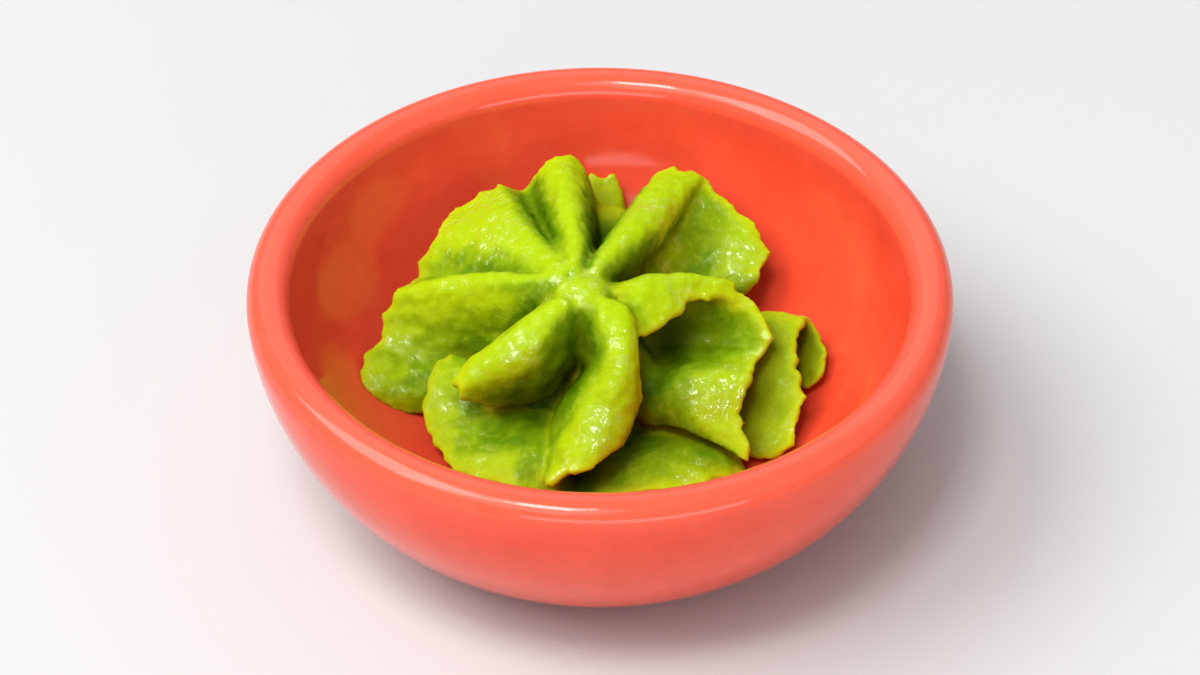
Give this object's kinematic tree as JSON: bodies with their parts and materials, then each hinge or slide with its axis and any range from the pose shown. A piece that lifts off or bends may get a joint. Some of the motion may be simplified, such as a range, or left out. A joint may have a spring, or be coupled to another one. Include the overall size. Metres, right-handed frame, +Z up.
{
  "type": "dipping bowl of piped wasabi",
  "caption": "Round glazed dipping bowl with a thick rounded lip and a low foot ring, holding one ruffled rosette of piped green wasabi paste.",
  "frame": {"origin": "centre of the bowl's foot, on the surface that it stands on", "axes": "+Z up through the middle of the bowl, +X to the right and -Y towards the viewer, who sees the rosette's open fold on the right"},
  "size_m": [0.076, 0.076, 0.027],
  "materials": {
    "glaze": "coral red ceramic glaze, smooth and glossy",
    "paste": "wet green wasabi paste, fine grained"
  },
  "bodies": {
    "root": {"bowl": "glaze", "wasabi_rosette": "paste"}
  },
  "joints": []
}
